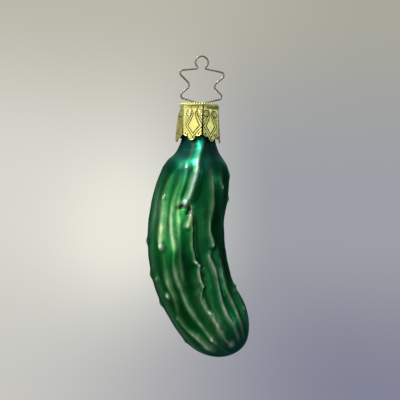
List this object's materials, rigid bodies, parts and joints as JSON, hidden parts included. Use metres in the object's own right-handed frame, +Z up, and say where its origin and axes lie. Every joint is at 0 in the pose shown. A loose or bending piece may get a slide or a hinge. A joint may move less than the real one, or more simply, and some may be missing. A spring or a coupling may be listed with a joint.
{
  "type": "pickle ornament",
  "caption": "Hanging tree ornament: a curved, warty blown-glass gherkin in green lacquer, with a stamped petal cap on its neck and a spring-wire hanger with a round eye.",
  "frame": {"origin": "inside top of the hanger's round eye, where the hook bears when the ornament hangs", "axes": "+Z up along the axis of the neck and cap, +X towards the side the lower end bends to, -Y the front; the hanger lies in the XZ plane"},
  "size_m": [0.0356, 0.0262, 0.102],
  "materials": {
    "green_glass": "satin metallic green lacquer over silvered glass, dry-brushed pale streaks",
    "cap_metal": "thin stamped sheet, pale gold, embossed",
    "hanger_wire": "drawn spring wire, slightly warm"
  },
  "bodies": {
    "hanger": {"wire_hanger": "hanger_wire"},
    "cap": {"cap": "cap_metal"},
    "glass": {"glass_body": "green_glass"}
  },
  "joints": [
    {"name": "hanger_swivel", "type": "hinge", "parent": "hanger", "child": "cap", "pos_m": [0, 0, -0.0161], "axis": [0, 0, 1], "continuous": true},
    {"name": "cap_pull_off", "type": "slide", "parent": "cap", "child": "glass", "axis": [0, 0, -1], "range_m": [0, 0.025]}
  ]
}
